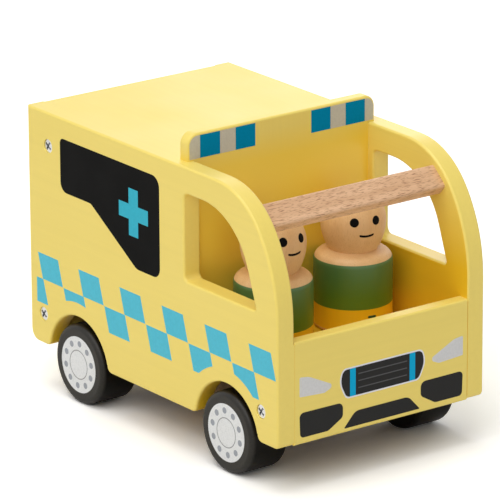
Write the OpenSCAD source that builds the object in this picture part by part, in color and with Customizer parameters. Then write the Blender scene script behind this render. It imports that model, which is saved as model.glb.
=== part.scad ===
// Wooden toy ambulance with an open cab, a lifting tailgate, rolling wheels and two peg figures.
// Frame: +X forward, +Y to the vehicle's left, +Z up, origin on the ground under the middle.
// All sizes are millimetres.

/* [Body shell] */
// Overall length of the side panels
body_length = 180; // [160:1:210]
// Overall width across both side panels
body_w = 110; // [100:1:130]
// Thickness of a side panel
side_t = 8.8; // [7:0.1:11]
// Height of the shell's lower edge above the ground
sill_z = 20.6; // [19:0.2:24]
// Height of the roof's upper face
roof_z = 128; // [120:1:145]
// Round-over on the edges of the panels
edge_r = 0.9; // [0.5:0.1:2]
// Radius of the lower rear corner of a side panel
rear_corner_r = 5; // [3:0.5:8]
// Radius of the lower front corner of a side panel
front_corner_r = 2.5; // [2:0.5:5]

/* [Front curve] */
// Radius of the upper curve, from the roof line forward
brow_r = 37.3; // [30:0.1:44]
// Distance below the roof at which the front edge becomes upright
nose_drop = 53.4; // [46:0.2:60]
// Angle at which the upper curve runs into the longer lower one
curve_join_a = 36.2; // [30:0.2:45]

/* [Side windows] */
// Length of the window along its sill
window_length = 50.3; // [44:0.1:54]
// Height of the window
window_h = 38.7; // [34:0.1:44]
// Width of the wood between the window top and the roof line
window_head_h = 11.7; // [9:0.1:16]
// Width of the wood between the window's foot and the front edge
pillar_w = 14.8; // [11:0.1:20]
// Radius of the window's upper front corner
window_brow_r = 33; // [26:0.5:36]
// Lean of the window's front edge from upright
window_lean_a = 19.7; // [14:0.1:24]
// Radius of the window's rear corners
window_corner_r = 2.6; // [2:0.1:4]
// Radius of the window's lower front corner
window_foot_r = 1.2; // [0.8:0.1:2.5]

/* [Panels across the body] */
// Thickness of the front panel
front_t = 6.4; // [5:0.1:9]
// Height of the front panel's upper edge
front_top_z = 66; // [58:0.2:74]
// Round-over on the front panel's ends, beside the side panels
front_seam_r = 0.35; // [0.2:0.05:0.6]
// Length of the cab, from the bulkhead's front face to the body's front edge
cab_length = 68.7; // [64:0.1:76]
// Thickness of the bulkhead
bulkhead_t = 6; // [5:0.1:9]
// Thickness of the roof
roof_t = 8; // [6:0.1:10]
// Thickness of the floor
floor_t = 6; // [5:0.1:9]

/* [Light bar] */
// Distance of the light bar's end, which rests on the side panel, inside that panel's face
lightbar_inset = 5.2; // [3:0.1:7]
// Height of the light bar above the roof
lightbar_h = 11.8; // [9:0.1:16]
// Radius of the light bar's upper corners
lightbar_corner_r = 5; // [3:0.1:7]
// Round-over on the light bar's edges
lightbar_edge_r = 0.9; // [0.5:0.1:1.4]

/* [Crossbar] */
// Width of the crossbar's outer face
crossbar_w = 11.7; // [9:0.1:15]
// Thickness of the crossbar
crossbar_t = 6.6; // [6:0.1:9]
// Radius of the crossbar's long edges
crossbar_r = 1.4; // [0.8:0.1:2.8]
// Place of the crossbar round the upper curve, from level
crossbar_a = 48.5; // [44:0.5:54]
// Depth of the crossbar's face below the upper curve
crossbar_inset = 3.3; // [1.5:0.1:4]
// Diameter of the dowels at the crossbar's ends
dowel_d = 4; // [3:0.1:5]
// Length of a crossbar dowel
dowel_length = 12; // [9:0.5:16]
// Length of a dowel that sits in the side panel
dowel_in_side = 5; // [4:0.5:6]

/* [Wheels and axles] */
// Radius of a wheel
wheel_r = 18; // [15:0.1:19]
// Width of a wheel
wheel_w = 19.8; // [14:0.1:24]
// Round-over on a wheel's edges
wheel_edge_r = 2.4; // [1:0.1:3.5]
// Gap between a front wheel and the front beam
front_wheel_gap = 1.2; // [0.8:0.1:6]
// Gap between a rear wheel and the rear beam
rear_wheel_gap = 2.9; // [0.8:0.1:6]
// Distance of a wheel's outer face inside the side panel's face
wheel_inset = 0.1; // [0:0.1:3]
// Gap between a wheel and its arch
arch_gap = 4; // [3:0.1:6]
// Radius of the arch's lower corners
arch_corner_r = 3; // [2:0.1:4]
// Diameter of an axle
axle_d = 5; // [4:0.1:7]
// Depth of the axle's seat in a wheel
axle_seat = 12; // [8:0.5:13]

/* [Chassis] */
// Gap between the wheels and the floor above them
floor_gap = 4.3; // [3:0.1:7]
// Length of an axle bearer along the body
bearer_length = 52; // [40:0.5:58]
// Length of a bearer past its axle, towards the nearer end of the body
bearer_end_length = 12; // [8:0.5:14]
// Wood below the axle in its bearer
bearer_foot = 5; // [4:0.5:7]
// Gap between a bearer and the wheel beside it
bearer_gap = 0.8; // [0.4:0.1:2]
// Radius of a bearer's lower corners
bearer_r = 4; // [2:0.5:6]
// Thickness of the front and rear beams
beam_t = 10.4; // [8:0.1:10.8]
// Height of the front and rear beams
beam_h = 16.6; // [12:0.1:18]
// Distance of a beam's screws below the floor
beam_screw_drop = 5.8; // [4:0.1:8]
// Distance of the rear beam inside the body's rear edge
rear_beam_inset = 4.7; // [2:0.1:6]
// Radius of the long edges of a beam
beam_r = 1.2; // [0.5:0.1:2]

/* [Tailgate] */
// Thickness of the tailgate
tailgate_t = 8; // [6:0.1:9]
// Distance of the tailgate's pivot inside the body's rear edge
pivot_inset = 15.4; // [13:0.1:17]
// Distance of the tailgate's pivot below the roof
pivot_drop = 15.2; // [14:0.1:18]
// Gap beside the tailgate
tailgate_side_gap = 0.4; // [0.3:0.1:1]
// Gap below the tailgate
tailgate_foot_gap = 0.8; // [0.6:0.1:2]
// Gap between the closed tailgate and the floor that stops it
tailgate_stop_gap = 0.3; // [0.3:0.1:0.8]
// Radius of the finger hole in the tailgate
finger_r = 7; // [6:0.5:9]
// Height of the finger hole above the tailgate's lower edge
finger_rise = 17; // [14:0.5:30]

/* [Screws] */
// Diameter of a screw head
screw_head_d = 6; // [5:0.1:7]
// Height of a screw head
screw_head_h = 1.8; // [1.2:0.1:2.4]
// Depth of a screw head below the panel's face
screw_sink = 0.1; // [0.05:0.05:0.5]
// Diameter of a screw's shank
screw_d = 3.6; // [3:0.1:4.2]
// Length of a screw's shank that reaches past the side panel
screw_reach = 12; // [8:0.5:16]
// Turn of the cross recess in a screw head
recess_turn = 35; // [0:5:85]
// Clearance round a screw head in its counterbore
screw_head_gap = 0.15; // [0.1:0.05:0.5]
// Clearance round a fixed shank or dowel
seat_gap = 0.05; // [0.02:0.01:0.1]
// Running clearance round an axle or pivot
run_gap = 0.08; // [0.02:0.01:0.1]

/* [Figures] */
// Radius of a figure's body
figure_r = 17; // [13:0.1:18]
// Height of a figure's body to the start of the shoulder
figure_shoulder_z = 29; // [24:0.5:38]
// Radius of the round edge of a figure's shoulder
shoulder_r = 4.5; // [3:0.1:7]
// Radius of a figure's neck
neck_r = 10.7; // [8:0.1:12]
// Height of the neck above the shoulder's start
neck_rise = 5.4; // [5:0.1:9]
// Radius of a figure's head at its widest
head_r = 14.15; // [13:0.05:16]
// Height of the widest part of the head above the shoulder's start
head_rise = 17.9; // [15:0.1:21]
// Radius of the foot's edge
figure_foot_r = 1.2; // [0.5:0.1:2.5]
// Distance of both figures to the left of the middles of their halves of the cab
figure_shift = 1.1; // [0:0.05:3]
// Gap between the left figure and the bulkhead behind it
left_figure_gap = 0.8; // [0.5:0.1:5]
// Gap between the right figure and the bulkhead behind it
right_figure_gap = 5.3; // [0.5:0.1:5.5]
// Gap under a figure, which stands on the floor
figure_foot_gap = 0.2; // [0.1:0.05:0.3]

/* [Hidden] */
$fn = 64;

paint_yellow = "#edd680";
beech = "#d4ac80";
tyre_black = "#3a3834";
bare_wood = "#dcc39a";
steel = "#c9ccd0";
figure_green = "#4c7350";

// Overlap that lets a cut run past the face it leaves
past = 1;
// Angle by which a round-over meets its faces short of tangent, as a sanded edge does
ease = 1.15;
// Step in depth between one group of round-overs and the next
ease_step = 0.05;
// Distance by which a round-over laps over a neighbour that bulges out more
lap = 0.8;
// Distance by which the neighbour stops short of their common point
trim = 0.15;

front_x = body_length / 2;
rear_x = -body_length / 2;
half_w = body_w / 2;
inner_y = half_w - side_t;
front_inner_x = front_x - front_t;
bulkhead_x = front_x - cab_length;
bulkhead_rear_x = bulkhead_x - bulkhead_t;

// Centres and radii of the two tangent arcs of the front curve
nose_z = roof_z - nose_drop;
brow_z = roof_z - brow_r;
nose_r = brow_r + (brow_z - nose_z) / sin(curve_join_a);
nose_c = [front_x - nose_r, nose_z];
brow_c = [nose_c.x + (nose_r - brow_r) * cos(curve_join_a), brow_z];

// The window's outline: its upper front arc is tangent to the head line and to the leaning edge
window_foot = front_x - pillar_w;
window_rear = window_foot - window_length;
window_top_z = roof_z - window_head_h;
window_sill_z = window_top_z - window_h;
window_c = [
    window_foot - (window_brow_r
        - (window_sill_z - window_top_z + window_brow_r) * sin(window_lean_a)) / cos(window_lean_a),
    window_top_z - window_brow_r
];
window_tangent = window_c + window_brow_r * [cos(window_lean_a), sin(window_lean_a)];
window_foot_c = [
    window_foot - window_foot_r * (1 + sin(window_lean_a)) / cos(window_lean_a),
    window_sill_z + window_foot_r
];
window_foot_tangent = window_foot_c + window_foot_r * [cos(window_lean_a), sin(window_lean_a)];

// Wheels, arches and axles
axle_z = wheel_r;
front_axle_x = front_inner_x - beam_t - front_wheel_gap - wheel_r;
rear_axle_x = rear_x + rear_beam_inset + beam_t + rear_wheel_gap + wheel_r;
arch_r = wheel_r + arch_gap;
arch_corner_z = sill_z + arch_corner_r;
arch_corner_dx = sqrt(pow(arch_r + arch_corner_r, 2) - pow(arch_corner_z - axle_z, 2));
arch_corner_a = atan2(arch_corner_z - axle_z, arch_corner_dx);
wheel_out_y = half_w - wheel_inset;
wheel_in_y = wheel_out_y - wheel_w;
bearer_half_w = wheel_in_y - bearer_gap;
axle_half_length = wheel_in_y + axle_seat;

// Floor, beams and panels
floor_z = 2 * wheel_r + floor_gap;
floor_top_z = floor_z + floor_t;
beam_z = floor_z - beam_h / 2;
beam_screw_z = floor_z - beam_screw_drop;
front_beam_x = front_inner_x - beam_t / 2;
rear_beam_x = rear_x + rear_beam_inset + beam_t / 2;

// Tailgate
pivot_x = rear_x + pivot_inset;
pivot_z = roof_z - pivot_drop;
tailgate_foot_z = floor_z + tailgate_foot_gap;
tailgate_half_w = inner_y - tailgate_side_gap;
floor_rear_x = pivot_x + tailgate_t / 2 + tailgate_stop_gap;

// Crossbar, set radially under the upper curve
crossbar_mid_r = brow_r - crossbar_inset - crossbar_t / 2;
crossbar_c = brow_c + crossbar_mid_r * [cos(crossbar_a), sin(crossbar_a)];

// Figures
left_figure_x = bulkhead_x + left_figure_gap + figure_r;
right_figure_x = bulkhead_x + right_figure_gap + figure_r;
left_figure_y = inner_y / 2 + figure_shift;
right_figure_y = -inner_y / 2 + figure_shift;
figure_z = floor_top_z + figure_foot_gap;
head_z = figure_shoulder_z + head_rise;

// A line from the neck touches the round edge of the shoulder
shoulder_c = [figure_r - shoulder_r, figure_shoulder_z];
neck_p = [neck_r, figure_shoulder_z + neck_rise];
neck_run = neck_p - shoulder_c;
shoulder_a = atan2(neck_run.y, neck_run.x) - acos(shoulder_r / norm(neck_run));
shoulder_p = shoulder_c + shoulder_r * [cos(shoulder_a), sin(shoulder_a)];

// The lower part of the head curves in from its widest part to the neck
head_step = head_r - neck_r;
head_drop = head_z - neck_p.y;
jaw_r = (head_step * head_step + head_drop * head_drop) / (2 * head_step);

// Places of the screws along the body, as [x, z]
chassis_screw_places = [[front_beam_x, beam_screw_z], [rear_beam_x, beam_screw_z]];
pivot_place = [pivot_x, pivot_z];
side_screw_places = concat(chassis_screw_places, [pivot_place]);

// Edges to round over. A line has the wood on its left; a ball edge bulges out and a cove edge curves in.
// Each kind is cut a little deeper than the one before it, so that it takes in its neighbour's end.
function arc_a(run, r) = run / r * 180 / PI;
function line_edge(p, q) = ["line", p, q];
function along(p, q, run) = p + run * (q - p) / norm(q - p);
function short_line_edge(p, q) = line_edge(along(p, q, trim), along(q, p, trim));
function cove_edge(c, r, a0, a1) = ["arc", c, r, a0, a1, false];
function ball_edge(c, r, a0, a1) = ["arc", c, r, a0 + arc_a(trim, r), a1 - arc_a(trim, r), true];

// Rounding helpers

// Section that a sanded round-over takes off an edge: x runs into the wood, y down from the face
module roundover_section(r) {
    round_r = ease * r;
    centre = (r + sqrt(2 * round_r * round_r - r * r)) / 2;
    difference() {
        translate([-past, -past]) square(centre + past);
        translate([centre, centre]) circle(round_r);
    }
}

// Cutter along one edge of a plate that lies on z = 0
module edge_cutter(edge, r) {
    if (edge[0] == "line") {
        run = edge[2] - edge[1];
        translate([edge[1].x, edge[1].y, 0])
            rotate(atan2(run.y, run.x))
                rotate([90, 0, 90])
                    linear_extrude(norm(run))
                        roundover_section(r);
    } else {
        translate([edge[1].x, edge[1].y, 0])
            rotate(edge[3])
                rotate_extrude(angle = edge[4] - edge[3])
                    translate([edge[2], 0])
                        mirror([edge[5] ? 1 : 0, 0])
                            roundover_section(r);
    }
}

// Plate of thickness t with the outline of its children, its lower and its upper face rounded over.
// Edges come in groups, from the ones that curve in most to the ones that bulge out most.
module eased_plate(t, lower, upper, r, last = undef) {
    i = is_undef(last) ? len(lower) - 1 : last;
    if (i < 0) {
        linear_extrude(t) children();
    } else {
        difference() {
            eased_plate(t, lower, upper, r, i - 1) children();
            for (edge = lower[i]) edge_cutter(edge, r + i * ease_step);
            for (edge = upper[i])
                translate([0, 0, t]) mirror([0, 0, 1]) edge_cutter(edge, r + i * ease_step);
        }
    }
}

// Rectangle with rounded corners, centred
module round_rect(size, r) {
    square([size.x - 2 * r, size.y], center = true);
    square([size.x, size.y - 2 * r], center = true);
    for (sx = [-1, 1], sy = [-1, 1])
        translate([sx * (size.x / 2 - r), sy * (size.y / 2 - r)]) circle(r);
}

// Stands a plate drawn in x and z upright, from y = 0 towards -y
module upright_along_x() {
    rotate([90, 0, 0]) children();
}

// Stands a plate drawn in y and z upright, from x = 0 towards +x
module upright_across() {
    rotate([90, 0, 90]) children();
}

// Turns a shape drawn along z so that it runs along y
module along_y() {
    rotate([-90, 0, 0]) children();
}

// Repeats its children on both sides of the body, drawn for the left side
module both_sides() {
    children();
    mirror([0, 1, 0]) children();
}

// Side panels

module arch_cut(x) {
    translate([x, axle_z]) circle(arch_r);
    for (side = [-1, 1])
        difference() {
            polygon([
                [x, axle_z],
                [x + side * arch_corner_dx, arch_corner_z],
                [x + side * arch_corner_dx, sill_z - past],
                [x, sill_z - past]
            ]);
            translate([x + side * arch_corner_dx, arch_corner_z]) circle(arch_corner_r);
        }
}

module window_outline() {
    inset = window_corner_r;
    // Rear part with its two small corners
    translate([window_rear, window_sill_z + inset])
        square([window_c.x - window_rear, window_top_z - window_sill_z - 2 * inset]);
    translate([window_rear + inset, window_sill_z])
        square([window_c.x - window_rear - inset, window_top_z - window_sill_z]);
    for (z = [window_sill_z + inset, window_top_z - inset])
        translate([window_rear + inset, z]) circle(inset);
    // Front part under the arc and the leaning edge
    intersection() {
        translate(window_c) circle(window_brow_r);
        translate([window_c.x, window_sill_z]) square([2 * window_brow_r, window_top_z - window_sill_z]);
    }
    polygon([
        [window_c.x, window_sill_z],
        [window_foot_c.x, window_sill_z],
        window_foot_c,
        window_foot_tangent,
        window_tangent,
        [window_c.x, window_tangent.y]
    ]);
    translate(window_foot_c) circle(window_foot_r);
}

module side_outline() {
    difference() {
        union() {
            translate([rear_x, sill_z]) square([brow_c.x - rear_x, roof_z - sill_z]);
            translate(brow_c) circle(brow_r);
            intersection() {
                translate(nose_c) circle(nose_r);
                polygon([
                    nose_c,
                    nose_c + [2 * nose_r, 0],
                    nose_c + 2 * nose_r * [1, tan(curve_join_a)]
                ]);
            }
            translate([nose_c.x, sill_z]) square([front_x - nose_c.x, nose_z - sill_z]);
        }
        for (x = [rear_axle_x, front_axle_x]) arch_cut(x);
        window_outline();
        // Lower corners
        difference() {
            translate([rear_x - past, sill_z - past]) square(rear_corner_r + past);
            translate([rear_x + rear_corner_r, sill_z + rear_corner_r]) circle(rear_corner_r);
        }
        difference() {
            translate([front_x - front_corner_r, sill_z - past]) square(front_corner_r + past);
            translate([front_x - front_corner_r, sill_z + front_corner_r]) circle(front_corner_r);
        }
    }
}

// Edges of a side panel
arch_lap_a = arc_a(lap, arch_r);
function arch_cove(x) = cove_edge([x, axle_z], arch_r, arch_corner_a - arch_lap_a,
    180 - arch_corner_a + arch_lap_a);
function arch_corners(x) = [
    ball_edge([x - arch_corner_dx, arch_corner_z], arch_corner_r, 270, 360 + arch_corner_a),
    ball_edge([x + arch_corner_dx, arch_corner_z], arch_corner_r, 180 - arch_corner_a, 270)
];
side_coves = [arch_cove(rear_axle_x), arch_cove(front_axle_x)];
side_low_lines = [
    line_edge([rear_x + rear_corner_r - lap, sill_z], [rear_axle_x - arch_corner_dx + lap, sill_z]),
    line_edge([rear_axle_x + arch_corner_dx - lap, sill_z], [front_axle_x - arch_corner_dx + lap, sill_z]),
    line_edge([front_axle_x + arch_corner_dx - lap, sill_z], [front_x - front_corner_r + lap, sill_z]),
    line_edge([rear_x, roof_z + past], [rear_x, sill_z + rear_corner_r - lap])
];
// The front panel and the roof meet the inner face, so only the outer face is rounded beside them
function side_high_lines(front_foot, roof_rear) = [
    line_edge([front_x, front_foot], [front_x, nose_z + lap]),
    line_edge([brow_c.x + lap, roof_z], [roof_rear, roof_z])
];
side_noses = [ball_edge(nose_c, nose_r, 0, curve_join_a + lap)];
side_front_corner = [
    ball_edge([front_x - front_corner_r, sill_z + front_corner_r], front_corner_r, 270, 360)
];
side_balls = concat(
    [
        ball_edge([rear_x + rear_corner_r, sill_z + rear_corner_r], rear_corner_r, 180, 270),
        ball_edge(brow_c, brow_r, curve_join_a, 90)
    ],
    arch_corners(rear_axle_x),
    arch_corners(front_axle_x)
);

// Edges of a side window, seen from inside the opening
corner_lap_a = 12;
brow_lap_a = arc_a(lap, window_brow_r);
window_low = [window_rear + window_corner_r, window_sill_z + window_corner_r];
window_high = [window_rear + window_corner_r, window_top_z - window_corner_r];
window_coves = [
    cove_edge(window_low, window_corner_r, 180 - corner_lap_a, 270 + corner_lap_a),
    cove_edge(window_high, window_corner_r, 90 - corner_lap_a, 180 + corner_lap_a),
    cove_edge(window_c, window_brow_r, window_lean_a - brow_lap_a, 90 + brow_lap_a),
    cove_edge(window_foot_c, window_foot_r, -90 - corner_lap_a, window_lean_a + corner_lap_a)
];
window_lines = [
    short_line_edge([window_foot_c.x, window_sill_z], [window_low.x, window_sill_z]),
    short_line_edge([window_rear, window_low.y], [window_rear, window_high.y]),
    short_line_edge([window_high.x, window_top_z], [window_c.x, window_top_z]),
    short_line_edge(window_tangent, window_foot_tangent)
];
function side_edge_groups(high_lines, front_corner) = [
    concat(side_coves, window_coves),
    concat(side_low_lines, high_lines, window_lines),
    side_noses,
    concat(side_balls, front_corner)
];
side_outer_edges = side_edge_groups(
    side_high_lines(sill_z + front_corner_r - lap, rear_x - past), side_front_corner);
side_inner_edges = side_edge_groups(
    side_high_lines(front_top_z - edge_r, bulkhead_x - bulkhead_t / 2), []);

// Left side panel with its counterbored screw holes and blind dowel seat
module side_panel() {
    head_depth = screw_sink + screw_head_h;
    difference() {
        translate([0, half_w, 0])
            upright_along_x()
                eased_plate(side_t, side_outer_edges, side_inner_edges, edge_r)
                    side_outline();
        for (place = side_screw_places)
            translate([place.x, inner_y - past, place.y])
                along_y() {
                    cylinder(d = screw_d + 2 * seat_gap, h = side_t + 2 * past);
                    translate([0, 0, past + side_t - head_depth])
                        cylinder(d = screw_head_d + 2 * screw_head_gap, h = head_depth + past);
                }
        translate([crossbar_c.x, inner_y - past, crossbar_c.y])
            along_y()
                cylinder(d = dowel_d + 2 * seat_gap, h = dowel_in_side + seat_gap + past);
    }
}

module side_panel_left() {
    color(paint_yellow) side_panel();
}

module side_panel_right() {
    color(paint_yellow) mirror([0, 1, 0]) side_panel();
}

// Panels across the body

module roof_panel() {
    roof_length = bulkhead_rear_x - rear_x;
    lines = [line_edge([rear_x, inner_y + past], [rear_x, -inner_y - past])];
    color(paint_yellow)
        translate([0, 0, roof_z - roof_t])
            eased_plate(roof_t, [lines], [lines], lightbar_edge_r)
                translate([rear_x, -inner_y]) square([roof_length, 2 * inner_y]);
}

// Bulkhead between cab and load space; its top stands above the roof as the light bar
module bulkhead_light_bar() {
    bar_half = half_w - lightbar_inset;
    bar_top = roof_z + lightbar_h;
    corner = [bar_half - lightbar_corner_r, bar_top - lightbar_corner_r];
    lines = [
        line_edge([bar_half, roof_z], [bar_half, corner.y + lap]),
        line_edge([corner.x + lap, bar_top], [-corner.x - lap, bar_top]),
        line_edge([-bar_half, corner.y + lap], [-bar_half, roof_z])
    ];
    balls = [
        ball_edge(corner, lightbar_corner_r, 0, 90),
        ball_edge([-corner.x, corner.y], lightbar_corner_r, 90, 180)
    ];
    color(paint_yellow)
        translate([bulkhead_rear_x, 0, 0])
            upright_across()
                eased_plate(bulkhead_t, [lines, balls], [lines, balls], lightbar_edge_r) {
                    translate([-inner_y, floor_top_z]) square([2 * inner_y, roof_z - floor_top_z]);
                    translate([-bar_half, roof_z]) square([2 * bar_half, lightbar_h - lightbar_corner_r]);
                    translate([-corner.x, roof_z]) square([2 * corner.x, lightbar_h]);
                    for (side = [-1, 1]) translate([side * corner.x, corner.y]) circle(lightbar_corner_r);
                }
}

module front_panel() {
    across = [
        line_edge([inner_y + past, front_top_z], [-inner_y - past, front_top_z]),
        line_edge([-inner_y - past, sill_z], [inner_y + past, sill_z])
    ];
    ends = [
        line_edge([inner_y, sill_z - past], [inner_y, front_top_z + past]),
        line_edge([-inner_y, front_top_z + past], [-inner_y, sill_z - past])
    ];
    color(paint_yellow)
        translate([front_inner_x, 0, 0])
            upright_across()
                difference() {
                    eased_plate(front_t, [across], [across], edge_r)
                        translate([-inner_y, sill_z]) square([2 * inner_y, front_top_z - sill_z]);
                    for (edge = ends)
                        translate([0, 0, front_t]) mirror([0, 0, 1]) edge_cutter(edge, front_seam_r);
                }
}

module floor_board() {
    color(paint_yellow)
        translate([floor_rear_x, -inner_y, floor_z])
            cube([front_inner_x - floor_rear_x, 2 * inner_y, floor_t]);
}

// Chassis

// Beam between the side panels, with a pilot hole at each end for a side screw
module beam(x) {
    difference() {
        translate([x, inner_y, beam_z])
            upright_along_x()
                linear_extrude(2 * inner_y) round_rect([beam_t, beam_h], beam_r);
        both_sides()
            translate([x, inner_y - screw_reach - seat_gap, beam_screw_z])
                along_y()
                    cylinder(d = screw_d + 2 * seat_gap, h = screw_reach + seat_gap + past);
    }
}

module front_beam() {
    color(bare_wood) beam(front_beam_x);
}

module rear_beam() {
    color(paint_yellow) beam(rear_beam_x);
}

// Block under the floor that the axle turns in; way is 1 at the front and -1 at the rear
module bearer(x, way) {
    foot_z = axle_z - axle_d / 2 - bearer_foot;
    low_x = way > 0 ? bearer_end_length - bearer_length : -bearer_end_length;
    difference() {
        translate([x + low_x, bearer_half_w, 0])
            upright_along_x()
                linear_extrude(2 * bearer_half_w) {
                    translate([0, foot_z + bearer_r])
                        square([bearer_length, floor_z - foot_z - bearer_r]);
                    translate([bearer_r, foot_z])
                        square([bearer_length - 2 * bearer_r, bearer_r]);
                    for (at = [bearer_r, bearer_length - bearer_r])
                        translate([at, foot_z + bearer_r]) circle(bearer_r);
                }
        translate([x, -bearer_half_w - past, axle_z])
            along_y()
                cylinder(d = axle_d + 2 * run_gap, h = 2 * (bearer_half_w + past));
    }
}

module front_axle_bearer() {
    color(bare_wood) bearer(front_axle_x, 1);
}

module rear_axle_bearer() {
    color(bare_wood) bearer(rear_axle_x, -1);
}

// Steel rod with broken ends
module axle(x) {
    chamfer = axle_d / 10;
    translate([x, -axle_half_length, axle_z])
        along_y() {
            translate([0, 0, chamfer]) cylinder(d = axle_d, h = 2 * (axle_half_length - chamfer));
            cylinder(d1 = axle_d - 2 * chamfer, d2 = axle_d, h = chamfer);
            translate([0, 0, 2 * axle_half_length - chamfer])
                cylinder(d1 = axle_d, d2 = axle_d - 2 * chamfer, h = chamfer);
        }
}

module front_axle() {
    color(steel) axle(front_axle_x);
}

module rear_axle() {
    color(steel) axle(rear_axle_x);
}

// Turned wheel, closed on its outer face, with the axle glued into its inner face
module wheel_left(x) {
    color(tyre_black)
        translate([x, wheel_in_y, axle_z])
            along_y()
                difference() {
                    rotate_extrude() {
                        square([wheel_r - wheel_edge_r, wheel_w]);
                        translate([0, wheel_edge_r]) square([wheel_r, wheel_w - 2 * wheel_edge_r]);
                        for (y = [wheel_edge_r, wheel_w - wheel_edge_r])
                            translate([wheel_r - wheel_edge_r, y]) circle(wheel_edge_r);
                    }
                    translate([0, 0, -past])
                        cylinder(d = axle_d + 2 * seat_gap, h = axle_seat + seat_gap + past);
                }
}

module wheel_right(x) {
    mirror([0, 1, 0]) wheel_left(x);
}

// Crossbar over the windscreen opening

module crossbar() {
    color(beech)
        difference() {
            translate([crossbar_c.x, inner_y, crossbar_c.y])
                upright_along_x()
                    rotate(crossbar_a)
                        linear_extrude(2 * inner_y) round_rect([crossbar_t, crossbar_w], crossbar_r);
            both_sides()
                translate([crossbar_c.x, inner_y + dowel_in_side - dowel_length - seat_gap, crossbar_c.y])
                    along_y()
                        cylinder(d = dowel_d + 2 * seat_gap, h = dowel_length);
        }
}

module crossbar_dowels() {
    color(bare_wood)
        both_sides()
            translate([crossbar_c.x, inner_y + dowel_in_side - dowel_length, crossbar_c.y])
                along_y()
                    cylinder(d = dowel_d, h = dowel_length);
}

// Tailgate, hung at its round upper edge on two screws

module tailgate() {
    color(paint_yellow)
        difference() {
            translate([pivot_x, tailgate_half_w, 0])
                upright_along_x()
                    linear_extrude(2 * tailgate_half_w) {
                        translate([0, pivot_z]) circle(d = tailgate_t);
                        translate([-tailgate_t / 2, tailgate_foot_z + beam_r])
                            square([tailgate_t, pivot_z - tailgate_foot_z - beam_r]);
                        translate([-tailgate_t / 2 + beam_r, tailgate_foot_z])
                            square([tailgate_t - 2 * beam_r, beam_r]);
                        for (side = [-1, 1])
                            translate([side * (tailgate_t / 2 - beam_r), tailgate_foot_z + beam_r])
                                circle(beam_r);
                    }
            translate([pivot_x - tailgate_t, 0, tailgate_foot_z + finger_rise])
                rotate([0, 90, 0]) cylinder(r = finger_r, h = 2 * tailgate_t);
            both_sides()
                translate([pivot_x, inner_y - screw_reach - run_gap, pivot_z])
                    along_y()
                        cylinder(d = screw_d + 2 * run_gap, h = screw_reach + past);
        }
}

// Screws

// Domed head with a cross recess, at place [x, z] on the left side
module side_screw(place) {
    cap_r = screw_head_d / 2;
    cap_in_y = half_w - screw_sink - screw_head_h;
    dome_h = screw_head_h / 5;
    dome_r = (cap_r * cap_r + dome_h * dome_h) / (2 * dome_h);
    recess_w = screw_head_d / 6;
    recess_length = screw_head_d * 0.7;
    recess_depth = screw_head_h / 2;
    translate([place.x, inner_y - screw_reach, place.y])
        along_y() {
            cylinder(d = screw_d, h = cap_in_y - inner_y + screw_reach);
            translate([0, 0, cap_in_y - inner_y + screw_reach])
                difference() {
                    intersection() {
                        cylinder(r = cap_r, h = screw_head_h);
                        translate([0, 0, screw_head_h - dome_r]) sphere(dome_r);
                    }
                    for (turn = [0, 90])
                        rotate(recess_turn + turn)
                            translate([-recess_length / 2, -recess_w / 2, screw_head_h - recess_depth])
                                cube([recess_length, recess_w, recess_depth + past]);
                }
        }
}

module tailgate_pivot_screws() {
    color(steel) both_sides() side_screw(pivot_place);
}

module chassis_screws() {
    color(steel)
        for (place = chassis_screw_places)
            both_sides() side_screw(place);
}

// Turned peg figures

// Half section of a figure, with x as the distance from its axis
module figure_section() {
    translate([0, figure_foot_r]) square([figure_r, figure_shoulder_z - figure_foot_r]);
    square([figure_r - figure_foot_r, figure_foot_r]);
    translate([figure_r - figure_foot_r, figure_foot_r]) circle(figure_foot_r);
    translate(shoulder_c) circle(shoulder_r);
    // Shoulder, whose line runs on a little inside the neck
    polygon([
        [0, figure_shoulder_z],
        shoulder_c,
        shoulder_p,
        along(neck_p, shoulder_p, -lap),
        [0, neck_p.y + lap]
    ]);
    // Head, a ball above its widest part and a longer curve below it
    intersection() {
        translate([head_r - jaw_r, head_z]) circle(jaw_r);
        translate([0, figure_shoulder_z]) square([2 * head_r, head_rise]);
    }
    intersection() {
        translate([0, head_z]) circle(head_r);
        translate([0, head_z]) square(2 * head_r);
    }
}

module figure(place) {
    color(figure_green)
        translate([place.x, place.y, figure_z])
            rotate_extrude() figure_section();
}

module figure_left() {
    figure([left_figure_x, left_figure_y]);
}

module figure_right() {
    figure([right_figure_x, right_figure_y]);
}

side_panel_right();
side_panel_left();
roof_panel();
bulkhead_light_bar();
front_panel();
floor_board();
front_beam();
rear_beam();
front_axle_bearer();
rear_axle_bearer();
front_axle();
rear_axle();
wheel_left(front_axle_x);  // wheel_front_left
wheel_right(front_axle_x);  // wheel_front_right
wheel_left(rear_axle_x);  // wheel_rear_left
wheel_right(rear_axle_x);  // wheel_rear_right
crossbar();
crossbar_dowels();
tailgate();
tailgate_pivot_screws();
chassis_screws();
figure_left();
figure_right();
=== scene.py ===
import math

import bmesh
import bpy
from mathutils import Matrix, Vector
from mathutils.geometry import tessellate_polygon


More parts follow.
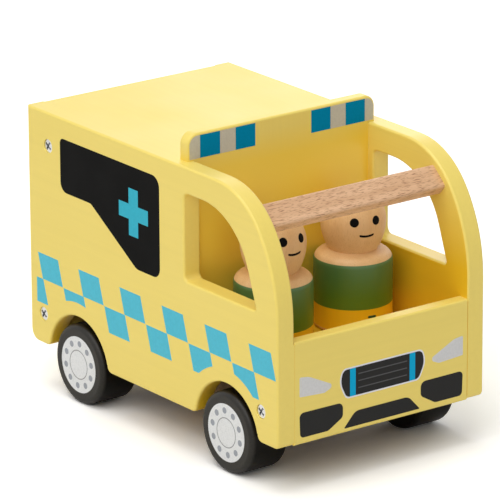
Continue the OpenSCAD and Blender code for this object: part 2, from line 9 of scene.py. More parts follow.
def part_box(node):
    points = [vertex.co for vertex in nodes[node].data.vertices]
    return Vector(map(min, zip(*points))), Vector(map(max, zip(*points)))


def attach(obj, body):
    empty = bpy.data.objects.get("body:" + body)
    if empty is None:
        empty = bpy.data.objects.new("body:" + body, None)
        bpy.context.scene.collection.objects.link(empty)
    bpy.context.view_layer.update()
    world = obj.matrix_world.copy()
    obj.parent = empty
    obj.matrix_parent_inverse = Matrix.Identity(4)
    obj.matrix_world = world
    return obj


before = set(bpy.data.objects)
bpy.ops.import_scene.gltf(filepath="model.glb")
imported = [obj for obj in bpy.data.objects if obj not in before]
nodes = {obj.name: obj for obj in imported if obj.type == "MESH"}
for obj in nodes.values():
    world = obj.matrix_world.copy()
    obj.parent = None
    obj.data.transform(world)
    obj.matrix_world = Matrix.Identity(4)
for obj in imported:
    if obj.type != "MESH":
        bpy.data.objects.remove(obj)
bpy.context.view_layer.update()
scene = bpy.context.scene
MM = 0.001


def span(node):
    """Lowest and highest corner of a CAD node, in millimetres."""
    low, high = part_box(node)
    return low / MM, high / MM


# Faces that carry prints, taken from the solids
SIDE_Y = span("side_panel_left")[1].y
FRONT_X = span("front_panel")[1].x
BAR_X = span("bulkhead_light_bar")[1].x
WHEEL_Y = span("wheel_front_left")[1].y
wheel_low, wheel_high = span("wheel_front_left")
AXLE_Z = (wheel_high.z + wheel_low.z) / 2
FRONT_AXLE_X = (wheel_high.x + wheel_low.x) / 2
rear_low, rear_high = span("wheel_rear_left")
REAR_AXLE_X = (rear_high.x + rear_low.x) / 2
figure_low, figure_high = span("figure_left")
FIGURE_R = (figure_high.x - figure_low.x) / 2
SHOULDER_R = 4.5
SHOULDER_Z = figure_low.z + 29
HEAD_R = 14.15
HEAD_Z = figure_high.z - HEAD_R
JAW_R = 24.37

# Materials


def shade(colour, factor):
    return (colour[0] * factor, colour[1] * factor, colour[2] * factor, 1)


def colour_sockets(sockets):
    """The colour sockets of a mix node, which share their names with its number sockets."""
    return [s for s in sockets if s.type == "RGBA"]


class Shader:
    """One material's nodes, added step by step."""

    def __init__(self, name):
        self.material = bpy.data.materials.new(name)
        self.material.use_nodes = True
        self.tree = self.material.node_tree
        self.surface = self.tree.nodes["Principled BSDF"]

    def node(self, kind, **settings):
        made = self.tree.nodes.new(kind)
        for key, value in settings.items():
            setattr(made, key, value)
        return made

    def link(self, source, target):
        self.tree.links.new(source, target)

    def set(self, **values):
        for key, value in values.items():
            self.surface.inputs[key.replace("_", " ")].default_value = value

    def feed(self, socket, source):
        self.link(source, self.surface.inputs[socket])

    def coords(self, stretch):
        """Object coordinates, multiplied to cycles per metre along each axis."""
        where = self.node("ShaderNodeTexCoord")
        mapping = self.node("ShaderNodeMapping")
        mapping.inputs["Scale"].default_value = stretch
        self.link(where.outputs["Object"], mapping.inputs["Vector"])
        return mapping.outputs["Vector"]

    def noise(self, stretch, detail=3.0, roughness=0.5, distortion=0.0):
        made = self.node("ShaderNodeTexNoise")
        made.inputs["Scale"].default_value = 1
        made.inputs["Detail"].default_value = detail
        made.inputs["Roughness"].default_value = roughness
        made.inputs["Distortion"].default_value = distortion
        self.link(self.coords(stretch), made.inputs["Vector"])
        return made.outputs["Fac"]

    def ramp(self, value, *stops):
        made = self.node("ShaderNodeValToRGB")
        elements = made.color_ramp.elements
        elements[0].position, elements[0].color = stops[0]
        elements[1].position, elements[1].color = stops[-1]
        for position, colour in stops[1:-1]:
            elements.new(position).color = colour
        self.link(value, made.inputs["Fac"])
        return made.outputs["Color"]

    def spread(self, value, low, high):
        made = self.node("ShaderNodeMapRange")
        made.inputs["From Min"].default_value = 0.3
        made.inputs["From Max"].default_value = 0.7
        made.inputs["To Min"].default_value = low
        made.inputs["To Max"].default_value = high
        self.link(value, made.inputs["Value"])
        return made.outputs["Result"]

    def blend(self, share, under, over):
        """Mixes the colour socket under with the plain colour over."""
        made = self.node("ShaderNodeMix", data_type="RGBA")
        self.link(share, made.inputs["Factor"])
        first, second = colour_sockets(made.inputs)
        self.link(under, first)
        second.default_value = over
        return colour_sockets(made.outputs)[0]

    def place(self, *limits):
        """One where all limits hold: each falls from one to zero between two places along an object axis.
        Places are millimetres; an axis with a bar in front of it counts the distance to both sides."""
        share = None
        for limit in limits:
            value = self.limit(*limit)
            if share is not None:
                both = self.node("ShaderNodeMath", operation="MULTIPLY")
                self.link(share, both.inputs[0])
                self.link(value, both.inputs[1])
                value = both.outputs["Value"]
            share = value
        return share

    def limit(self, axis, to_one, to_zero):
        coords = self.node("ShaderNodeTexCoord")
        parts = self.node("ShaderNodeSeparateXYZ")
        self.link(coords.outputs["Object"], parts.inputs["Vector"])
        value = parts.outputs[axis[-1]]
        if axis[0] == "|":
            size = self.node("ShaderNodeMath", operation="ABSOLUTE")
            self.link(value, size.inputs[0])
            value = size.outputs["Value"]
        made = self.node("ShaderNodeMapRange")
        made.inputs["From Min"].default_value = to_zero * MM
        made.inputs["From Max"].default_value = to_one * MM
        self.link(value, made.inputs["Value"])
        return made.outputs["Result"]

    def bump(self, *layers):
        """Stacks (height socket, depth in metres) layers into the normal."""
        normal = None
        for height, depth in layers:
            made = self.node("ShaderNodeBump")
            made.inputs["Strength"].default_value = 1
            made.inputs["Distance"].default_value = depth
            self.link(height, made.inputs["Height"])
            if normal is not None:
                self.link(normal, made.inputs["Normal"])
            normal = made.outputs["Normal"]
        self.feed("Normal", normal)


WHITE = (1, 1, 1, 1)
BLACK = (0, 0, 0, 1)


def along(axis, long_way, across):
    """Cycles per metre for a grain that runs along one axis."""
    return tuple(long_way if i == "XYZ".index(axis) else across for i in range(3))


def painted_wood(name, colour, axis, *tints):
    """Satin paint that lets a little of the grain through.
    A tint is a colour and the limits of its place; the tints given below paint shade and light."""
    s = Shader(name)
    grain = s.noise(along(axis, 12, 520), 4, 0.55, 0.4)
    cloud = s.noise((22, 22, 22), 2)
    peel = s.noise((1900, 1900, 1900), 2)
    base = s.ramp(grain, (0.3, shade(colour, 0.98)), (0.55, colour), (0.75, shade(colour, 1.012)))
    base = s.blend(s.ramp(cloud, (0.42, BLACK), (0.75, shade(WHITE, 0.25))), base, shade(colour, 0.96))
    for tint, *limits in tints:
        base = s.blend(s.place(*limits), base, tint)
    s.feed("Base Color", base)
    s.feed("Roughness", s.spread(cloud, 0.34, 0.44))
    s.bump((grain, 0.000012), (peel, 0.000008))
    return s.material


def beech(name, axis, light, dark, fleck, share):
    """Clear-finished beech: soft bands with fine short flecks along the grain."""
    s = Shader(name)
    band = s.noise(along(axis, 12, 160), 3, 0.5, 0.6)
    fibre = s.noise(along(axis, 120, 1900), 3, 0.6)
    flecks = s.noise(along(axis, 310, 3300), 1.6, 0.5)
    base = s.ramp(band, (0.3, dark), (0.7, light))
    base = s.blend(s.ramp(fibre, (0.45, BLACK), (0.8, shade(WHITE, 0.4))), base, dark)
    base = s.blend(s.ramp(flecks, (0.54, BLACK), (0.66, shade(WHITE, share))), base, fleck)
    s.feed("Base Color", base)
    s.feed("Roughness", s.spread(fibre, 0.46, 0.58))
    s.bump((fibre, 0.00002), (flecks, 0.00002))
    return s.material


def ink(name, colour, rough=0.5, gloss=0.15):
    """Screen-printed ink with a fine mottle."""
    s = Shader(name)
    s.set(Specular_IOR_Level=gloss)
    mottle = s.noise((900, 900, 900), 3, 0.6)
    cloud = s.noise((60, 60, 60), 2)
    base = s.ramp(mottle, (0.3, shade(colour, 0.95)), (0.7, shade(colour, 1.04)))
    s.feed("Base Color", base)
    s.feed("Roughness", s.spread(cloud, rough - 0.05, rough + 0.06))
    s.bump((mottle, 0.000008))
    return s.material


def silver_print(name, colour, dark):
    """Hub print: pale grey with a metallic speckle."""
    s = Shader(name)
    speck = s.noise((1500, 1500, 1500), 2, 0.7)
    cloud = s.noise((150, 150, 150), 2)
    base = s.ramp(speck, (0.34, dark), (0.5, colour), (0.72, shade(colour, 1.03)))
    s.feed("Base Color", base)
    s.feed("Roughness", s.spread(cloud, 0.38, 0.5))
    s.set(Metallic=0.1)
    s.bump((speck, 0.00001))
    return s.material


# Depth behind a wheel's face where the tread's painted shade and lower gloss are full and where they end
TREAD_FROM = 2.6
TREAD_EDGE = 1
TREAD_GLOSS = 0.1
FACE_GLOSS = 0.26


def tyre_paint(name, colour):
    """Satin black on turned wood, with fine lathe marks; the tread is duller than the face and painted
    darker as painted shade.
    """
    s = Shader(name)
    fine = s.noise((1400, 1400, 1400), 3, 0.6)
    cloud = s.noise((120, 120, 120), 3)
    base = s.ramp(fine, (0.3, shade(colour, 0.8)), (0.7, shade(colour, 1.2)))
    tread = s.limit("|Y", WHEEL_Y - TREAD_FROM, WHEEL_Y - TREAD_EDGE)
    # Painted shade: the tread's colour is darkened to 0.3 of the face's
    s.feed("Base Color", s.blend(tread, base, shade(colour, 0.3)))
    gloss = s.node("ShaderNodeMapRange")
    gloss.inputs["To Min"].default_value = FACE_GLOSS
    gloss.inputs["To Max"].default_value = TREAD_GLOSS
    s.link(tread, gloss.inputs["Value"])
    s.feed("Specular IOR Level", gloss.outputs["Result"])
    s.feed("Roughness", s.spread(cloud, 0.32, 0.44))
    s.bump((cloud, 0.00003), (fine, 0.000015))
    return s.material


def raw_wood(name, axis, light, dark):
    """Unpainted softwood of the hidden pieces."""
    s = Shader(name)
    band = s.noise(along(axis, 9, 260), 4, 0.55, 0.8)
    fibre = s.noise(along(axis, 70, 1600), 2)
    s.feed("Base Color", s.blend(s.ramp(fibre, (0.4, BLACK), (0.8, shade(WHITE, 0.4))),
                                 s.ramp(band, (0.35, dark), (0.62, light)), dark))
    s.feed("Roughness", s.spread(fibre, 0.62, 0.76))
    s.bump((band, 0.00004), (fibre, 0.00003))
    return s.material


# Depth below a side panel's face where a screw's recess is dark with painted shade and where that shade
# ends
RECESS_FROM = 0.7
RECESS_EDGE = 0.5


def plated_steel(name, colour):
    """Plated screws and axles; painted shade keeps the cross recesses and the rims of the screw heads
    dark.
    """
    s = Shader(name)
    brush = s.noise((2600, 500, 2600), 2, 0.6)
    cloud = s.noise((300, 300, 300), 2)
    base = s.ramp(cloud, (0.3, shade(colour, 0.88)), (0.7, colour))
    recess = s.limit("|Y", SIDE_Y - RECESS_FROM, SIDE_Y - RECESS_EDGE)
    # Painted shade: all steel deeper than the side panels' faces is darkened to 0.26 of its colour
    s.feed("Base Color", s.blend(recess, base, shade(colour, 0.26)))
    s.feed("Roughness", s.spread(brush, 0.2, 0.34))
    s.set(Metallic=1)
    s.bump((brush, 0.000006))
    return s.material


YELLOW = (0.89, 0.7, 0.155, 1)
SHADE_OCHRE = (0.95, 0.68, 0.07, 1)
DEEP_SHADE_OCHRE = (0.88, 0.54, 0.02, 1)
# Places of the painted shade and light tints: an axis, and where along it the tint is full and where it
# ends. The ochre tints paint the shade and yellow bounce inside the cab, on the arch walls and below the
# light bar; the figures' upper green is painted sky light
SHADED_INNER_FACES = ("|Y", 46.25, 46.3)
SHADED_LOWER_CAB = ("Z", 78, 116)
SHADED_ARCH_WALLS = ("|Y", 53, 55)
ARCH_SPAN = ("|X", 79, 80)
ARCH_HEIGHT = ("Z", 40, 43)
SHADED_BELOW_LIGHT_BAR = ("Z", 122, 134)
SKY_LIT_UPPER_BODY = ("Z", 78, 62)
# Painted shade: the side panels' inner faces turn deep ochre low in the cab, and the arch walls deep ochre
yellow_side = painted_wood("yellow_paint_sides", YELLOW, "X", (DEEP_SHADE_OCHRE, SHADED_INNER_FACES, SHADED_LOWER_CAB),
                           (DEEP_SHADE_OCHRE, SHADED_ARCH_WALLS, ARCH_SPAN, ARCH_HEIGHT))
yellow_x = painted_wood("yellow_paint_along", YELLOW, "X")
yellow_y = painted_wood("yellow_paint_across", YELLOW, "Y")
yellow_z = painted_wood("yellow_paint_upright", YELLOW, "Z")
# Painted shade: the bulkhead turns ochre below the light bar
bulkhead_paint = painted_wood("yellow_paint_bulkhead", YELLOW, "Z", (SHADE_OCHRE, SHADED_BELOW_LIGHT_BAR))
# Painted shade: the floor board is painted all over in the deep shade ochre
shaded_floor_paint = painted_wood("yellow_paint_floor", DEEP_SHADE_OCHRE, "X")
bar_beech = beech("crossbar_beech", "Y", (0.84, 0.54, 0.325, 1), (0.63, 0.365, 0.195, 1),
                  (0.34, 0.15, 0.065, 1), 0.85)
figure_beech = beech("figure_beech", "Z", (0.86, 0.57, 0.28, 1), (0.79, 0.49, 0.22, 1),
                     (0.62, 0.34, 0.14, 1), 0.4)
# Painted shade: the bare wood is given the dark brown of the shade in the wheel arches
shaded_bare_wood_y = raw_wood("bare_wood_across", "Y", (0.21, 0.115, 0.042, 1), (0.15, 0.08, 0.03, 1))
tyre_black = tyre_paint("tyre_black", (0.021, 0.019, 0.016, 1))
steel = plated_steel("plated_steel", (0.87, 0.88, 0.9, 1))
print_black = ink("print_black", (0.003, 0.003, 0.003, 1), 0.5, 0.05)
front_black = ink("front_black", (0.018, 0.018, 0.018, 1), 0.5)
check_blue = ink("check_blue", (0.088, 0.518, 0.67, 1))
emblem_blue = ink("emblem_blue", (0.033, 0.443, 0.587, 1))
bar_blue = ink("bar_blue", (0, 0.245, 0.455, 1), 0.5, 0.02)
bar_grey = ink("bar_grey", (0.583, 0.554, 0.451, 1))
grille_blue = ink("grille_blue", (0.002, 0.4, 0.7, 1), 0.5, 0.08)
grille_line = ink("grille_line", (0.8, 0.8, 0.86, 1))
slat_grey = ink("slat_grey", (0.085, 0.085, 0.09, 1))
lamp_grey = ink("lamp_grey", (0.66, 0.66, 0.67, 1), 0.42, 0.4)
hub_grey = silver_print("hub_grey", (0.765, 0.775, 0.785, 1), (0.685, 0.695, 0.71, 1))
hub_dot = ink("hub_dot", (0.34, 0.36, 0.4, 1), 0.45)
hub_line = ink("hub_line", (0.3, 0.3, 0.31, 1), 0.45)
# Painted light: the green's top is bluer as painted sky light from above, its lower part yellower as
# painted bounce from the cab
figure_green = painted_wood("figure_green", (0.1, 0.21, 0.016, 1), "Z",
                            ((0.088, 0.2, 0.068, 1), SKY_LIT_UPPER_BODY))
figure_yellow = painted_wood("figure_yellow", (0.9, 0.54, 0.01, 1), "Z")
face_black = ink("face_black", (0.003, 0.003, 0.003, 1), 0.5, 0.05)
belt_green = ink("belt_green", (0.03, 0.09, 0.03, 1))

NODE_MATERIALS = {
    "side_panel_right": yellow_side,
    "side_panel_left": yellow_side,
    "roof_panel": yellow_x,
    "bulkhead_light_bar": bulkhead_paint,
    "front_panel": yellow_y,
    "floor_board": shaded_floor_paint,
    "front_beam": shaded_bare_wood_y,
    "rear_beam": yellow_y,
    "front_axle_bearer": shaded_bare_wood_y,
    "rear_axle_bearer": shaded_bare_wood_y,
    "front_axle": steel,
    "rear_axle": steel,
    "wheel_front_left": tyre_black,
    "wheel_front_right": tyre_black,
    "wheel_rear_left": tyre_black,
    "wheel_rear_right": tyre_black,
    "crossbar": bar_beech,
    "crossbar_dowels": shaded_bare_wood_y,
    "tailgate": yellow_z,
    "tailgate_pivot_screws": steel,
    "chassis_screws": steel,
    "figure_left": figure_beech,
    "figure_right": figure_beech,
}
for name, material in NODE_MATERIALS.items():
    mesh = nodes[name].data
    mesh.materials.clear()
    mesh.materials.append(material)

# Outlines


def rounded(points, radii, steps=7):
    """Closed outline with each corner rounded to its own radius."""
    outline = []
    count = len(points)
    for i, (corner, radius) in enumerate(zip(points, radii)):
        here = Vector(corner)
        before = (Vector(points[i - 1]) - here).normalized()
        after = (Vector(points[(i + 1) % count]) - here).normalized()
        if radius <= 0:
            outline.append(here)
            continue
        half = before.angle(after) / 2
        centre = here + (before + after).normalized() * (radius / math.sin(half))
        start = here + before * (radius / math.tan(half)) - centre
        turn = start.angle_signed(here + after * (radius / math.tan(half)) - centre)
        for step in range(steps + 1):
            outline.append(centre + Matrix.Rotation(-turn * step / steps, 2) @ start)
    return outline


def circle(centre, radius, count=48):
    turn = 2 * math.pi / count
    return [Vector((centre[0] + radius * math.cos(i * turn), centre[1] + radius * math.sin(i * turn)))
            for i in range(count)]


def mirrored(points):
    """The same outline on the other side of the middle line."""
    return [(-x, z) for x, z in reversed(points)]


def outside_circle(outline, centre, radius, steps=10):
    """Cuts a disc off a convex outline."""
    centre = Vector(centre)
    kept = []
    crossings = []
    for i, start in enumerate(outline):
        end = outline[(i + 1) % len(outline)]
        run = end - start
        if (start - centre).length > radius:
            kept.append(start)
        a = run.dot(run)
        b = 2 * (start - centre).dot(run)
        c = (start - centre).length_squared - radius * radius
        root = b * b - 4 * a * c
        if root <= 0:
            continue
        for sign in (-1, 1):
            share = (-b + sign * math.sqrt(root)) / (2 * a)
            if 0 < share < 1:
                kept.append(start + run * share)
                crossings.append(len(kept) - 1)
    if len(crossings) != 2:
        return outline
    # The arc goes between the crossing where the outline enters the disc and the one where it leaves
    first, second = crossings
    if second == first + 1 and (kept[first] + kept[second] - 2 * centre).length < 2 * radius:
        enter, leave, at = first, second, second
    else:
        enter, leave, at = second, first, second + 1
    sweep = (kept[enter] - centre).angle_signed(kept[leave] - centre)
    start = kept[enter] - centre
    arc = [centre + Matrix.Rotation(-sweep * k / steps, 2) @ start for k in range(1, steps)]
    return kept[:at] + arc + kept[at:]


# Pieces


def add_piece(name, mesh, material, body, smooth=False):
    mesh.materials.append(material)
    piece = bpy.data.objects.new(name, mesh)
    scene.collection.objects.link(piece)
    if smooth:
        mesh.shade_smooth()
    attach(piece, body)
    return piece


def finish_mesh(made, name):
    """Mesh of the closed solids in a bmesh, with all faces turned outwards."""
    bmesh.ops.recalc_face_normals(made, faces=made.faces)
    mesh = bpy.data.meshes.new(name)
    made.to_mesh(mesh)
    made.free()
    return mesh


SUNK = -0.01
FIRST_COAT = 0.025
SECOND_COAT = 0.045
THIRD_COAT = 0.06


def solid_between(mesh_name, outlines, place, low, high):
    """Closed thin solid of an outline, the later outlines being holes in the first."""
    made = bmesh.new()
    rings = []
    for outline in outlines:
        rings.append([(made.verts.new(Vector(place(p[0], p[1], low)) * MM),
                       made.verts.new(Vector(place(p[0], p[1], high)) * MM)) for p in outline])
    flat = [pair for ring in rings for pair in ring]
    loops = [[Vector((p[0], p[1], 0)) for p in outline] for outline in outlines]
    for triangle in tessellate_polygon(loops):
        made.faces.new([flat[i][1] for i in triangle])
        made.faces.new([flat[i][0] for i in reversed(triangle)])
    for ring in rings:
        for i, pair in enumerate(ring):
            following = ring[(i + 1) % len(ring)]
            made.faces.new((pair[0], following[0], following[1], pair[1]))
    return finish_mesh(made, mesh_name)


def flat_print(name, outlines, place, material, body="shell", coat=FIRST_COAT):
    return add_piece(name, solid_between(name, outlines, place, SUNK, coat), material, body)


def on_side(side):
    """Places x, z of a side panel's outer face; side is -1 right or 1 left."""
    return lambda x, z, out: (x, side * (SIDE_Y + out), z)


def on_front(y, z, out):
    return (FRONT_X + out, y, z)


def on_light_bar(y, z, out):
    return (BAR_X + out, y, z)


def on_wheel(axle_x, side):
    return lambda x, z, out: (axle_x + x, side * (WHEEL_Y + out), AXLE_Z + z)


# Side prints

WINDOW_PRINT = rounded(
    [(-65.4, 118.9), (7.7, 118.9), (7.7, 73.7), (-9.3, 73.7), (-42.8, 94.7), (-65.4, 94.7)],
    [2.4, 5, 4.5, 6, 4, 4.5],
)
EMBLEM_X = -11.2
EMBLEM_Z = 98.4
EMBLEM_REACH = 10.6
EMBLEM_ARM = 3.4
CHECK_PITCH = 30.75
CHECK_W = 15.3
CHECK_SLANT = 0.3
CHECK_ROWS = [(62.3, 50.7, -83.7, 6), (50.6, 39.3, -95.2, 6)]
CHECK_REAR_X = -84.9
CHECK_ARCH_R = 28.5


def plus_sign(x, z, reach, arm):
    return [Vector((x + dx, z + dz)) for dx, dz in [
        (-arm, reach), (arm, reach), (arm, arm), (reach, arm), (reach, -arm), (arm, -arm),
        (arm, -reach), (-arm, -reach), (-arm, -arm), (-reach, -arm), (-reach, arm), (-arm, arm),
    ]]


def check_tile(left, top, foot):
    """Leaning tile, cut upright at the rear and round over the wheel arches."""
    lean = CHECK_SLANT * (top - foot)
    tile = [Vector(p) for p in [
        (max(left, CHECK_REAR_X), top), (left + CHECK_W, top),
        (left + CHECK_W + lean, foot), (max(left + lean, CHECK_REAR_X), foot),
    ]]
    for axle_x in (REAR_AXLE_X, FRONT_AXLE_X):
        tile = outside_circle(tile, (axle_x, AXLE_Z), CHECK_ARCH_R)
    return tile


for side, word in ((-1, "right"), (1, "left")):
    place = on_side(side)
    flat_print(f"window_print_{word}", [WINDOW_PRINT], place, print_black)
    flat_print(f"emblem_{word}", [plus_sign(EMBLEM_X, EMBLEM_Z, EMBLEM_REACH, EMBLEM_ARM)], place,
               emblem_blue, coat=SECOND_COAT)
    for row, (top, foot, start, count) in enumerate(CHECK_ROWS):
        for i in range(count):
            tile = check_tile(start + i * CHECK_PITCH, top, foot)
            flat_print(f"check_{word}_{row + 1}_{i + 1}", [tile], place, check_blue)

# Front prints

LAMP = rounded([(-43.6, 50.3), (-38.8, 49.7), (-25, 43.1), (-30.6, 40.8), (-43.6, 41.6)],
               [0.7, 8, 1.3, 3, 0.5])
SIDE_INTAKE = rounded(
    [(-43.7, 34.5), (-20.8, 34.4), (-20.8, 28), (-28.6, 23.5), (-43.3, 23.5)],
    [2.2, 2.6, 2.4, 3.5, 1.8],
)
MID_INTAKE = rounded([(-14.2, 29.2), (14.2, 29.2), (20.4, 22.5), (-20.4, 22.5)], [5, 5, 0.3, 0.3])
GRILLE_Y = 0.3
GRILLE_CORNERS = [(-21, 49.1), (21, 49.1), (23.6, 43.9), (19.6, 35.5), (-19.6, 35.5), (-23.6, 43.9)]
GRILLE_RADII = [2.8, 2.8, 8, 3, 3, 8]
GRILLE_RIM = 0.65
GRILLE_BAR = (14.4, 17.4)
GRILLE_FOOT = 36.2
GRILLE_TOP = 48.4
SLAT_HALF_W = 13
SLAT_H = 0.5
SLAT_HEIGHTS = (39.2, 42.3, 45.4)


def on_grille(y, z, out):
    return on_front(y + GRILLE_Y, z, out)


def inset(points, distance):
    """Moves each corner of a convex outline inwards, so that its edges move by the distance."""
    moved = []
    for i, corner in enumerate(points):
        here = Vector(corner)
        before = (Vector(points[i - 1]) - here).normalized()
        after = (Vector(points[(i + 1) % len(points)]) - here).normalized()
        half = before.angle(after) / 2
        moved.append(here + (before + after).normalized() * (distance / math.sin(half)))
    return moved


def block(low_u, high_u, low_v, high_v):
    return [Vector(p) for p in [(low_u, low_v), (high_u, low_v), (high_u, high_v), (low_u, high_v)]]


for word, turn in (("right", list), ("left", mirrored)):
    flat_print(f"headlamp_print_{word}", [turn(LAMP)], on_front, lamp_grey)
    flat_print(f"intake_print_{word}", [turn(SIDE_INTAKE)], on_front, front_black)
    bar = turn(block(-GRILLE_BAR[1], -GRILLE_BAR[0], GRILLE_FOOT, GRILLE_TOP))
    flat_print(f"grille_bar_{word}", [bar], on_grille, grille_blue, coat=THIRD_COAT)
flat_print("intake_print_middle", [MID_INTAKE], on_front, front_black)
flat_print("grille_outline", [rounded(GRILLE_CORNERS, GRILLE_RADII)], on_grille, grille_line)
grille_field = rounded(inset(GRILLE_CORNERS, GRILLE_RIM), GRILLE_RADII)
flat_print("grille_print", [grille_field], on_grille, front_black, coat=SECOND_COAT)
for i, height in enumerate(SLAT_HEIGHTS):
    flat_print(f"grille_slat_{i + 1}",
               [block(-SLAT_HALF_W, SLAT_HALF_W, height - SLAT_H / 2, height + SLAT_H / 2)],
               on_grille, slat_grey, coat=THIRD_COAT)

# Light bar stripes

BAR_FOOT = 128.7
BAR_TOP = 138.7
BAR_END_Y = 48.9
BAR_CORNER_R = 4
STRIPE_Y = 0.5
STRIPES = [("blue_inner", 14.9, 25.3, bar_blue), ("grey_inner", 25.4, 33.3, bar_grey),
           ("blue_outer", 33.4, 43.9, bar_blue)]
END_STRIPE_Y = 44
for word, way, turn in (("left", 1, list), ("right", -1, mirrored)):
    shift = STRIPE_Y * way
    for stripe, inner, outer, material in STRIPES:
        outline = turn(block(inner + shift, outer + shift, BAR_FOOT, BAR_TOP))
        flat_print(f"stripe_{stripe}_{word}", [outline], on_light_bar, material)
    end = [(END_STRIPE_Y + shift, BAR_FOOT), (BAR_END_Y, BAR_FOOT), (BAR_END_Y, BAR_TOP),
           (END_STRIPE_Y + shift, BAR_TOP)]
    flat_print(f"stripe_end_{word}", [turn(rounded(end, [0, 0, BAR_CORNER_R, 0]))], on_light_bar, bar_grey)

# Wheel prints

HUB_R = 12.75
HUB_RING_R = 6.5
HUB_RING_W = 0.42
DOT_R = 1.4
DOT_PLACE_R = 9.75
DOTS = 10
WHEELS = [
    ("front_right", FRONT_AXLE_X, -1, "front_wheels", 24.5),
    ("front_left", FRONT_AXLE_X, 1, "front_wheels", 24.5),
    ("rear_right", REAR_AXLE_X, -1, "rear_wheels", 12.8),
    ("rear_left", REAR_AXLE_X, 1, "rear_wheels", 12.8),
]


def join_meshes(name, parts):
    """One mesh out of several loose solids."""
    made = bmesh.new()
    for part in parts:
        made.from_mesh(part)
        bpy.data.meshes.remove(part)
    return finish_mesh(made, name)


for word, axle_x, side, body, phase in WHEELS:
    place = on_wheel(axle_x, side)
    flat_print(f"hub_print_{word}", [circle((0, 0), HUB_R, 72)], place, hub_grey, body)
    flat_print(f"hub_ring_{word}", [circle((0, 0), HUB_RING_R + HUB_RING_W / 2, 64),
                                    circle((0, 0), HUB_RING_R - HUB_RING_W / 2, 64)],
               place, hub_line, body, coat=SECOND_COAT)
    dots = []
    for i in range(DOTS):
        turn = math.radians(phase + 360 * i / DOTS)
        centre = (DOT_PLACE_R * math.cos(turn), DOT_PLACE_R * math.sin(turn))
        dots.append(solid_between(f"dot_{i}", [circle(centre, DOT_R, 24)], place, SUNK, SECOND_COAT))
    add_piece(f"hub_dots_{word}", join_meshes(f"hub_dots_{word}", dots), hub_dot, body)

# Figure prints

PAINT_T = 0.03
GREEN_FOOT = 57.5
GREEN_TOP = 77.25
YELLOW_FOOT = 47.9
RIM_STEPS = 4
EYE_A = 21
EYE_R = 1.95
MOUTH_A = 14.3
MOUTH_RISE = 0.5
MOUTH_W = 1
DASH_Z = 54.1
DASH_A = 6.6
DASH_H = 1.1
# Degrees that the mouth and the belt mark are turned off the way the figure faces
MOUTH_TURN = 2
DASH_TURN = 5.5
BLUNT_END = 0.02


def body_level(height):
    """Radius of a figure's body at a height, up to the round edge of the shoulder."""
    rise = max(height - SHOULDER_Z, 0)
    return FIGURE_R - SHOULDER_R + math.sqrt(SHOULDER_R ** 2 - rise ** 2)


def band(name, centre, foot, top, material, body, slot, count=96):
    """Thin painted sleeve round a figure."""
    bend = min(max(SHOULDER_Z, foot), top)
    heights = [foot] + [bend + (top - bend) * k / RIM_STEPS for k in range(RIM_STEPS + 1) if top > bend]
    if top <= bend:
        heights.append(top)
    section = [(body_level(z) + PAINT_T, z) for z in heights]
    section += [(body_level(z) + SUNK, z) for z in reversed(heights)]
    made = bmesh.new()
    rings = []
    for reach, height in section:
        rings.append([made.verts.new(Vector((
            centre[0] + reach * math.cos(2 * math.pi * i / count),
            centre[1] + reach * math.sin(2 * math.pi * i / count),
            height)) * MM) for i in range(count)])
    for lower, upper in zip(rings, rings[1:] + rings[:1]):
        for i in range(count):
            k = (i + 1) % count
            made.faces.new((lower[i], lower[k], upper[k], upper[i]))
    piece = add_piece(name, finish_mesh(made, name), material, body, smooth=True)
    piece.modifiers.new("crisp_rims", "EDGE_SPLIT").split_angle = math.radians(40)
    return piece


def head_level(height):
    """Radius of a head at a height: a ball above its middle, a longer curve below."""
    curve_r = HEAD_R if height > HEAD_Z else JAW_R
    return HEAD_R - curve_r + math.sqrt(curve_r ** 2 - (height - HEAD_Z) ** 2)


def on_head(centre, azimuth, height, out):
    """Point on the head, from its azimuth in radians and its height."""
    curve_r = HEAD_R if height > HEAD_Z else JAW_R
    level = head_level(height)
    reach = level + out * (level - HEAD_R + curve_r) / curve_r
    lift = out * (height - HEAD_Z) / curve_r
    return Vector((
        centre[0] + reach * math.cos(azimuth),
        centre[1] + reach * math.sin(azimuth),
        height + lift,
    ))


def patch(name, outline, surface, material, body, rings=4):
    """Thin curved print: the outline shrunk towards its middle in rings, laid on a surface."""
    middle = sum(outline, Vector((0, 0))) / len(outline)
    made = bmesh.new()
    levels = []
    for out in (PAINT_T, SUNK):
        hub = made.verts.new(surface(middle, out) * MM)
        loops = [[made.verts.new(surface(middle + (p - middle) * (k / rings), out) * MM) for p in outline]
                 for k in range(1, rings + 1)]
        levels.append(loops[-1])
        count = len(outline)
        for i in range(count):
            k = (i + 1) % count
            made.faces.new((hub, loops[0][i], loops[0][k]))
            for inner, outer in zip(loops, loops[1:]):
                made.faces.new((inner[i], outer[i], outer[k], inner[k]))
    upper, lower = levels
    for i in range(len(upper)):
        k = (i + 1) % len(upper)
        made.faces.new((upper[i], lower[i], lower[k], upper[k]))
    return add_piece(name, finish_mesh(made, name), material, body, smooth=True)


